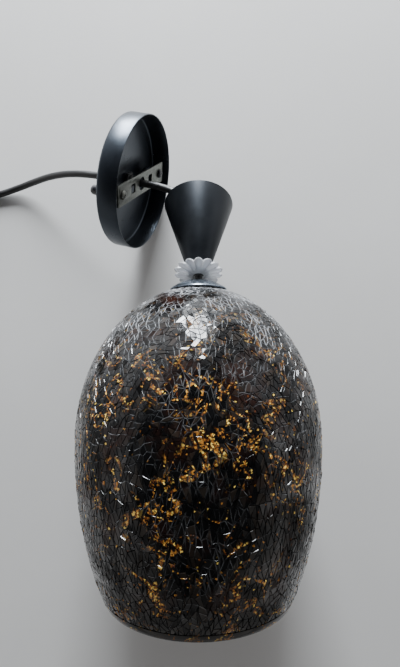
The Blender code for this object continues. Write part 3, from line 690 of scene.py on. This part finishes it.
tail_way = (Vector(TAIL_ROUTE[2]) - Vector(TAIL_ROUTE[1])).normalized()
TAIL = frame_on(Vector(TAIL_ROUTE[2]), tail_way, (0, 0, 1))
TAIL_TURN = TAIL.to_3x3().to_4x4()
FERRULE_PROFILE = [(0.0, 0.0), (0.0014, 0.0), (0.0014, 0.0012), (0.0009, 0.0020), (0.0009, FERRULE_LENGTH),
                   (0.0, FERRULE_LENGTH)]
cord_end_pieces = []
cores = (("live", brown_core, "core_brown"), ("neutral", blue_core, "core_blue"),
         ("earth", earth_core, "core_green"))
for number, (core_name, core_finish, core_slot) in enumerate(cores):
    turn = math.tau * number / 3
    x, y = CORE_OFFSET * math.cos(turn), CORE_OFFSET * math.sin(turn)
    splay = [TAIL @ Vector((x, y * widened, height)) for widened, height in (
        (1.0, -0.002), (1.0, CORE_LENGTH * 0.35), (1.6, CORE_LENGTH * 0.7), (1.9, CORE_LENGTH))]
    core = tube("core_" + core_name, smooth_route(splay, 14), CORE_RADIUS, core_finish, 4)
    fit(core, "lamp", core_slot, "tail_core_" + core_name)
    tip = turned(FERRULE_PROFILE, 16, closed=False)
    soften(tip, 0.0001)
    tip_place = Matrix.Translation(splay[-1]) @ TAIL_TURN @ Matrix.Translation((0, 0, -0.0004))
    ferrule = piece("ferrule_" + core_name, tip, tip_place, bright_steel)
    fit(ferrule, "lamp", "zinc", "tail_ferrule_" + core_name)
    cord_end_pieces += [core, ferrule]
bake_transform(cord)


# ---- the shade ----------------------------------------------------------------------------------------
ABOVE = SHADE_LENGTH - SHADE_BELLY
BELOW = SHADE_BELLY / math.sqrt(1 - (RIM_RADIUS / SHADE_RADIUS) ** 2)
BELLY_Z = SHADE_BELLY - SHADE_LENGTH
RIM_Z = -SHADE_LENGTH
SKIN_BOTTOM = RIM_Z + RIM_BAND


def egg(angle, depth):
    """(radius, height) on the egg's outline at this angle above the belly and depth under the outer face."""
    height = ABOVE if angle > 0 else BELOW
    normal = math.hypot(height * math.cos(angle), SHADE_RADIUS * math.sin(angle))
    return ((SHADE_RADIUS - depth * height / normal) * math.cos(angle),
            BELLY_Z + (height - depth * SHADE_RADIUS / normal) * math.sin(angle))


def egg_angle(bottom, depth):
    """The angle at which the outline at this depth comes down to this height."""
    low, high = -math.pi / 3, math.pi / 2
    for _ in range(40):
        middle = (low + high) / 2
        if egg(middle, depth)[1] < bottom:
            low = middle
        else:
            high = middle
    return low


def egg_outline(hole, bottom, depth, count=56):
    """The outline from this hole radius in the crown down to this height."""
    angles = steps(math.acos(hole / SHADE_RADIUS), egg_angle(bottom, depth), count)
    return [egg(angle, depth) for angle in angles]


def egg_out(point):
    """The way out of the shade's face at a point on it."""
    drop = point.z - BELLY_Z
    height = ABOVE if drop > 0 else BELOW
    return Vector((point.x / SHADE_RADIUS**2, point.y / SHADE_RADIUS**2, drop / height**2)).normalized()


def on_egg(direction):
    """A point of the unit sphere carried to the shade's outer face."""
    height = ABOVE if direction.z > 0 else BELOW
    return Vector((SHADE_RADIUS * direction.x, SHADE_RADIUS * direction.y, BELLY_Z + height * direction.z))


def shade_glass():
    """The blown glass under the mosaic, its cut rim rounded to a ridge."""
    depth = MOSAIC_WALL + GAP
    outer = egg_outline(BLANK_HOLE, RIM_Z + 0.0008, depth)
    inner = egg_outline(BLANK_HOLE, RIM_Z + 0.0008, depth + BLANK_WALL)
    ridge = [((outer[-1][0] + inner[-1][0]) / 2, RIM_Z)]
    glass = piece("shade_glass", turned(outer + ridge + inner[::-1], 128), LAMP, glass_finish, 60)
    fit(glass, "lamp", "blank_glass", "glass_blank")


def rim_lip():
    """The smooth band round the open end, given as heights over the rim and depths under the outer face."""
    top = RIM_BAND - GAP
    corners = ((top, 0.0), (0.003, -0.0001), (0.0009, 0.0001), (0.0001, 0.0006), (0.0001, 0.0012),
               (0.0006, MOSAIC_WALL), (top, MOSAIC_WALL))
    band = [egg(egg_angle(RIM_Z + height, depth), depth) for height, depth in corners]
    fit(piece("rim_lip", turned(band, 128), LAMP, glass_finish, 60), "lamp", "blank_glass", "rim_band")


def grout_skin():
    outer = egg_outline(MOSAIC_HOLE, SKIN_BOTTOM, GROUT_DEPTH)
    inner = egg_outline(MOSAIC_HOLE, SKIN_BOTTOM, MOSAIC_WALL)
    skin = piece("grout_skin", turned(outer + inner[::-1], 128), LAMP, grout_finish, 60)
    fit(skin, "lamp", "mosaic", "mosaic_skin")


def shaken(vector, amount):
    return (vector + Vector([random.uniform(-amount, amount) for _ in range(3)])).normalized()


def turn_at(face, vert):
    for loop in face.loops:
        if loop.vert == vert:
            return loop.calc_angle()
    return 0.0


def crackle():
    """The shade's face broken into shards: a shaken mesh of small triangles, joined here and there into
    larger pieces that stay convex and under a size of their own."""
    cells = bmesh.new()
    bmesh.ops.create_icosphere(cells, subdivisions=6, radius=1.0)
    for vert in cells.verts:
        vert.co = on_egg(shaken(vert.co, SHAKE))
    everything = cells.verts[:] + cells.edges[:] + cells.faces[:]
    bmesh.ops.bisect_plane(cells, geom=everything, dist=1e-6, plane_co=(0, 0, SKIN_BOTTOM + 0.0001),
                           plane_no=(0, 0, 1), clear_inner=True)
    order = [edge for edge in cells.edges if len(edge.link_faces) == 2]
    random.shuffle(order)
    for edge in order:
        if not edge.is_valid or len(edge.link_faces) != 2:
            continue
        first, second = edge.link_faces
        bends = [turn_at(first, vert) + turn_at(second, vert) for vert in edge.verts]
        if max(bends) > WIDEST_CORNER or len(set(first.edges) & set(second.edges)) > 1:
            continue
        if first.calc_area() + second.calc_area() < random.uniform(*CHIP_AREAS):
            bmesh.utils.face_join([first, second])
    spare = [face for face in cells.faces
             if face.calc_area() < LEAST_CHIP
             or face.calc_center_median().xy.length < MOSAIC_HOLE + 0.002]
    bmesh.ops.delete(cells, geom=spare, context="FACES")
    bmesh.ops.recalc_face_normals(cells, faces=cells.faces)
    return cells


def sink(verts, depth):
    for vert in verts:
        vert.co -= egg_out(vert.co) * depth


def chips(cells):
    """Turns each cell into a loose chip with a bevelled edge, a foot in the grout and a slight tilt."""
    cracks = bmesh.ops.inset_individual(cells, faces=cells.faces[:], thickness=CRACK, use_even_offset=True)
    bmesh.ops.delete(cells, geom=cracks["faces"], context="FACES")
    tone = cells.faces.layers.float.new("tone")
    edge_mark = cells.faces.layers.float.new("edge")
    tops = cells.faces[:]
    bmesh.ops.inset_individual(cells, faces=tops, thickness=CHAMFER, use_even_offset=True)
    for top in tops:
        value = random.random()
        out = egg_out(top.calc_center_median())
        centre = top.calc_center_median() - out * random.uniform(*CHIP_SUNK)
        tilt = Matrix.Rotation(random.gauss(0.0, CHIP_TILT), 3, shaken(out, 4.0))
        rim = [loop.link_loop_radial_next.face for loop in top.loops]
        top[tone] = value
        for face in rim:
            face[tone] = value
            face[edge_mark] = 1.0
        for vert in top.verts:
            vert.co = centre + tilt @ (vert.co - centre)
        sink({vert for face in rim for vert in face.verts} - set(top.verts), CHAMFER_FALL)
    open_edges = [edge for edge in cells.edges if edge.is_boundary]
    feet = bmesh.ops.extrude_edge_only(cells, edges=open_edges)["geom"]
    sink([part for part in feet if isinstance(part, bmesh.types.BMVert)], CHIP_FOOT - CHAMFER_FALL)
    bmesh.ops.edgeloop_fill(cells, edges=[edge for edge in cells.edges if edge.is_boundary])
    bmesh.ops.recalc_face_normals(cells, faces=cells.faces)
    return cells


def shade_mosaic():
    """The chips, in two pieces that meet along the cells' edges below the belly."""
    whole = crackle()
    upper = whole.copy()
    for cells, crown in ((upper, True), (whole, False)):
        other = [face for face in cells.faces if (face.calc_center_median().z >= MOSAIC_SPLIT) != crown]
        bmesh.ops.delete(cells, geom=other, context="FACES")
    for name, cells in (("mosaic_chips_crown", upper), ("mosaic_chips_rim", whole)):
        fit(piece(name, chips(cells), LAMP, chips_finish, 12), "lamp", "mosaic")


shade_glass()
rim_lip()
grout_skin()
shade_mosaic()


# ---- cap, rosette and cone ----------------------------------------------------------------------------
def domed_cap():
    """A spun cap on the crown: a shallow dome with a rolled rim and a boss round the rod."""
    bottom, top, hole, radius = reach("cap_dome", LAMP)
    rise = top - bottom - CAP_WALL
    dome = (radius**2 + rise**2) / (2 * rise)

    def under_dome(radii, drop):
        return [(out, top - drop - (dome - math.sqrt(dome**2 - out**2))) for out in radii]

    rolled = [(radius + 0.0001, bottom + 0.0006), (radius - 0.0004, bottom),
              (radius - 0.0011, bottom + 0.0002)]
    inside = steps(radius - CAP_WALL, CAP_BOSS + 0.0008, 8) + [CAP_BOSS]
    profile = under_dome(steps(hole, radius, 14), 0.0) + rolled + under_dome(inside, CAP_WALL)
    shape = turned(profile + [(CAP_BOSS, 0.0), (hole, 0.0)], 128)
    soften(shape, 0.00025, angle=50)
    fit(piece("cap", shape, LAMP, cap_nickel, 60), "lamp", "cap_black", "cap_dome")


def rosette():
    """A fluted cup of pressed crystal: its rim drawn into petals, and a deep groove between each and the next
    that runs down to the hub on both faces."""
    bottom, top, bore, radius = reach("crystal_rosette", SWIVEL)
    upper_face = [(0.62, 0.0020), (0.74, 0.0026), (0.86, 0.0031), (0.95, top), (1.0, top - 0.0009)]
    under_face = [(0.98, top - 0.0017), (0.92, 0.0012), (0.84, 0.0007), (0.74, 0.0002), (0.62, -0.0002),
                  (0.50, -0.0006), (0.38, -0.0011), (0.29, bottom - 0.0004)]
    profile = [(bore, 0.0004), (0.0096, 0.0004), (0.0110, 0.0012)]
    profile += [(radius * share, height) for share, height in upper_face + under_face]
    shape = turned(profile + [(bore, bottom - 0.0006)], PETALS * 12)
    root = radius * 0.30
    for vert in shape.verts:
        share = (vert.co.xy.length - root) / (radius - root)
        if share <= 0:
            continue
        lobe = abs(math.sin(PETALS / 2 * math.atan2(vert.co.y, vert.co.x))) ** 0.8
        under = vert.co.z < 0.0012 * share + 0.0002
        drawn = 1 - 0.20 * max(share - 0.45, 0.0) / 0.55 * (1 - lobe)
        vert.co.x *= drawn
        vert.co.y *= drawn
        vert.co.z += (0.0014 if under else -0.0005) * min(share * 3.0, 1.0) * (1 - lobe)
    made = piece("crystal_rosette_cut", shape, SWIVEL, crystal, 24)
    fit(made, "swivel", "crystal", "crystal_rosette")


def cone():
    """A spun cone with a closed narrow end, its wide mouth's lip folded over."""
    bottom, top, hole, radius = reach("cone_cover", SWIVEL)
    floor_top = bottom + CONE_WALL
    outer = [(hole, bottom), (CONE_SMALL - 0.0004, bottom), (CONE_SMALL, bottom + 0.0005)]
    lip = [(radius, top - 0.0004), (radius - 0.0003, top), (radius - CONE_WALL, top - 0.0001),
           (radius - CONE_WALL - 0.0002, top - 0.0008)]
    inner = [(CONE_SMALL - CONE_WALL, floor_top + 0.0006), (CONE_SMALL - CONE_WALL - 0.0006, floor_top),
             (hole, floor_top)]
    shape = turned(outer + lip + inner, 128)
    soften(shape, 0.0002, angle=25)
    fit(piece("cone", shape, SWIVEL, cone_satin_shaded, 40), "cone", "black_metal", "cone_cover")


domed_cap()
rosette()
cone()


# ---- canopy -------------------------------------------------------------------------------------------
def on_stud(side):
    """The canopy's frame moved to one stud's axis."""
    return CANOPY @ Matrix.Translation((side * STUD_REACH, 0, 0))


def canopy_arc(radius):
    """A quarter round from the side wall to the closed face."""
    turns = steps(0.0, math.pi / 2, 8)
    return [(CANOPY_RADIUS - CANOPY_CORNER + radius * math.cos(turn),
             CANOPY_CORNER - CANOPY_DEPTH - radius * math.sin(turn)) for turn in turns]


def canopy():
    """The cup, its rim's edges broken, with a hole for the cord and two for the studs."""
    inner = CANOPY_RADIUS - CANOPY_WALL
    floor_top = CANOPY_WALL - CANOPY_DEPTH
    profile = [(CANOPY_RADIUS - 0.0002, 0.0), (CANOPY_RADIUS, -0.0003)]
    profile += canopy_arc(CANOPY_CORNER) + [(CANOPY_HOLE, -CANOPY_DEPTH), (CANOPY_HOLE, floor_top)]
    profile += canopy_arc(CANOPY_CORNER - CANOPY_WALL)[::-1] + [(inner, -0.0003), (inner + 0.0002, 0.0)]
    cup = piece("canopy", turned(profile, 160), CANOPY, black_satin, 40)
    for side in (-1, 1):
        bored(cup, on_stud(side), STUD_HOLE, -CANOPY_DEPTH - 0.001, floor_top + 0.001)
    fit(cup, "canopy", "black_metal", "canopy_cup")


bar_bottom, bar_top, _, _ = reach("crossbar", CANOPY)


def mounting_bar():
    outlines = [rounded_box(0.0, BAR_LENGTH, BAR_WIDTH, 0.0016), ring_of(28, BAR_HOLE)]
    for side in (-1, 1):
        outlines.append(rounded_box(side * KNOCKOUT_REACH, KNOCKOUT, KNOCKOUT, 0.0006))
        outlines.append(ring_of(20, STUD_HOLE, side * STUD_REACH))
    bar = plate(outlines, bar_bottom, bar_top, 0.00018)
    fit(piece("mounting_bar", bar, CANOPY, zinc, 30), "canopy", "zinc", "crossbar")


def stud(tag, place, head_finish):
    """A machine screw with a dished head, its thread in rings."""
    bottom, top, _, head = reach("stud_" + tag, place)
    under = bar_top + GAP
    profile = [(0.0, top - 0.0007), (0.0006, top - 0.0007), (0.0007, top - 0.0001), (STUD_RADIUS, top),
               (head * 0.80, top - 0.0004), (head, under + 0.0008), (head, under), (STUD_RADIUS, under)]
    pitch = 0.0007
    for ridge in range(int((under - 0.0008 - bottom) / pitch)):
        height = under - 0.0006 - ridge * pitch
        profile += [(STUD_RADIUS, height), (STUD_RADIUS - 0.00028, height - pitch / 2)]
    profile += [(0.0016, bottom + 0.0002), (0.0012, bottom), (0.0, bottom)]
    made = piece("screw_" + tag, turned(profile, 28, closed=False), place, head_finish, 50)
    fit(made, "canopy", "zinc", "stud_" + tag)


def ball_nut(tag, place):
    """A domed nut with a waist and a flange, bored from its flat end."""
    bottom, top, _, _ = reach("cap_nut_" + tag, place)
    profile = [(NUT_RADIUS * 0.98 * math.sin(turn), bottom + 0.0040 * (1 - math.cos(turn)))
               for turn in steps(0.0, math.pi / 2, 8)]
    profile += [(NUT_RADIUS, top - 0.0042), (0.0036, top - 0.0036), (0.0034, top - 0.0030),
                (NUT_RADIUS, top - 0.0022), (NUT_RADIUS, top - 0.0003), (0.0040, top), (STUD_HOLE, top),
                (STUD_HOLE, bottom + 0.0046), (0.0, bottom + 0.0046)]
    knob = turned(profile, 40, closed=False)
    soften(knob, 0.00015, angle=30)
    made = piece("ball_nut_" + tag, knob, place, black_gloss, 40)
    fit(made, "nut_" + tag, "cap_black", "cap_nut_" + tag)


def cord_gland():
    """The cord grip: a neck through the canopy, a flange, and ribs that narrow to the cord."""
    bottom, top, bore, radius = reach("cord_grip", CANOPY)
    face = -CANOPY_DEPTH - GAP
    profile = [(GRIP_NECK, top), (GRIP_NECK, face), (radius, face), (radius, face - 0.0030)]
    for rib in range(5):
        height = face - 0.0036 - rib * 0.0015
        out = radius - 0.0010 - rib * 0.00035
        profile += [(out, height), (out, height - 0.0008), (out - 0.0006, height - 0.0010),
                    (out - 0.0006, height - 0.0014)]
    shape = turned(profile + [(0.0050, bottom), (bore, bottom), (bore, top)], 64)
    soften(shape, 0.00012, 1, 40)
    fit(piece("cord_gland", shape, CANOPY, nylon, 40), "canopy", "nylon", "cord_grip")


def gland_nut():
    bottom, top, _, radius = reach("cord_grip_nut", CANOPY)
    shape = plate([ring_of(6, radius), ring_of(40, GRIP_NECK + GAP)], bottom, top, 0.0003)
    fit(piece("gland_nut", shape, CANOPY, nylon, 30), "canopy", "nylon", "cord_grip_nut")


canopy()
mounting_bar()
# The lower screw's head is painted dark as shade.
for tag, side, head_finish in (("upper", -1, zinc), ("lower", 1, dark_steel)):
    stud(tag, on_stud(side), head_finish)
    ball_nut(tag, on_stud(side))
cord_gland()
gland_nut()


# ---- lamp holder --------------------------------------------------------------------------------------
def holder_sleeve():
    """The holder's body: a smooth collar over a ridged sleeve."""
    bottom, top, inner, radius = reach("holder_body", LAMP)
    step = top - 0.010
    profile = [(radius - 0.0004, top), (radius, top - 0.0004), (radius, step),
               (radius - 0.0015, step - 0.001)]
    for ridge in range(9):
        height = step - 0.0020 - ridge * 0.0022
        profile += [(radius - 0.0016, height), (radius - 0.0021, height - 0.0011)]
    profile += [(radius - 0.0030, bottom + 0.0004), (radius - 0.0034, bottom), (inner + 0.0003, bottom),
                (inner, bottom + 0.0003), (inner, top - 0.0053), (inner + 0.0035, top - 0.0053),
                (inner + 0.0035, top)]
    sleeve = piece("holder_sleeve", turned(profile, 96), LAMP, bakelite, 30)
    fit(sleeve, "lamp", "holder_plastic", "holder_body")


def socket_thread():
    """The brass shell that the bulb screws into, waved by five turns of thread."""
    bottom, top, _, radius = reach("screw_shell", LAMP)
    thread = [(radius - 0.0009 * (0.5 - 0.5 * math.cos(math.tau * 5 * share)), top + (bottom - top) * share)
              for share in steps(0.0, 1.0, 60)]
    shape = turned(thread + [(out - 0.0006, height) for out, height in reversed(thread)], 96)
    fit(piece("socket_thread", shape, LAMP, brass, 60), "lamp", "brass", "screw_shell")


def holder_ring():
    """The ring that clamps the shade, its flange's edge notched for the fingers."""
    bottom, top, inner, radius = reach("shade_ring", LAMP)
    shape = turned([(inner + 0.0012, top), (radius - 0.0003, top), (radius, top - 0.0003),
                    (radius, top - 0.0012), (radius - 0.0003, top - 0.0015), (inner + 0.0018, top - 0.0015),
                    (inner + 0.0015, top - 0.0018), (inner + 0.0015, bottom), (inner, bottom),
                    (inner, top - 0.0003)], 120)
    for vert in shape.verts:
        if vert.co.xy.length > radius - 0.0008:
            notch = 0.5 + 0.5 * math.cos(24 * math.atan2(vert.co.y, vert.co.x))
            vert.co.x *= 1 - 0.018 * notch**3
            vert.co.y *= 1 - 0.018 * notch**3
    fit(piece("holder_ring", shape, LAMP, bakelite, 30), "ring", "holder_plastic", "shade_ring")


holder_sleeve()
socket_thread()
holder_ring()

# ---- CAD nodes that keep their shape ------------------------------------------------------------------
kept = {
    "upper_gasket": rubber, "lower_gasket": rubber, "fitter_plate": zinc, "rod_lock_nut": zinc,
    "hollow_rod": zinc, "holder_cap": bakelite, "ceramic_insert": ceramic, "terminal_screw_left": brass,
    "terminal_screw_right": brass, "side_contact": brass, "centre_contact": brass, "lead_in_rod": sheath,
    "live_core": brown_core, "neutral_core": blue_core,
}
for name, finish_of in kept.items():
    mesh = frame["nodes"][name].data
    mesh.materials.clear()
    mesh.materials.append(finish_of)

# ---- floor and light ----------------------------------------------------------------------------------
floor_shape = bmesh.new()
bmesh.ops.create_grid(floor_shape, x_segments=1, y_segments=1, size=4.0)
piece("floor", floor_shape, Matrix.Identity(4), pale_floor)

window = bpy.data.lights.new("window", "AREA")
window.shape = "RECTANGLE"
window.size, window.size_y = 0.50, 0.85
window.energy = 110.0
window.color = (0.90, 0.95, 1.0)
softbox = bpy.data.objects.new("window", window)
softbox.location = (-0.05, 1.55, 0.44)
softbox.rotation_euler = (Vector((0, 0, 0.10)) - softbox.location).to_track_quat("-Z", "Y").to_euler()
bpy.context.scene.collection.objects.link(softbox)

world = bpy.data.worlds.new("studio")
bpy.context.scene.world = world
world.use_nodes = True
tree = world.node_tree
way = node(tree, "SeparateXYZ", {0: node(tree, "TexCoord").outputs["Generated"]}).outputs
room = blended(tree, spread(tree, way["Y"], -0.6, 0.9), (0.42, 0.41, 0.40, 1), (1.5, 1.5, 1.53, 1))
sky = blended(tree, spread(tree, way["Z"], 0.30, 0.66), room, (0.03, 0.03, 0.032, 1))
tree.links.new(sky, tree.nodes["Background"].inputs["Color"])
tree.nodes["Background"].inputs["Strength"].default_value = 1.35
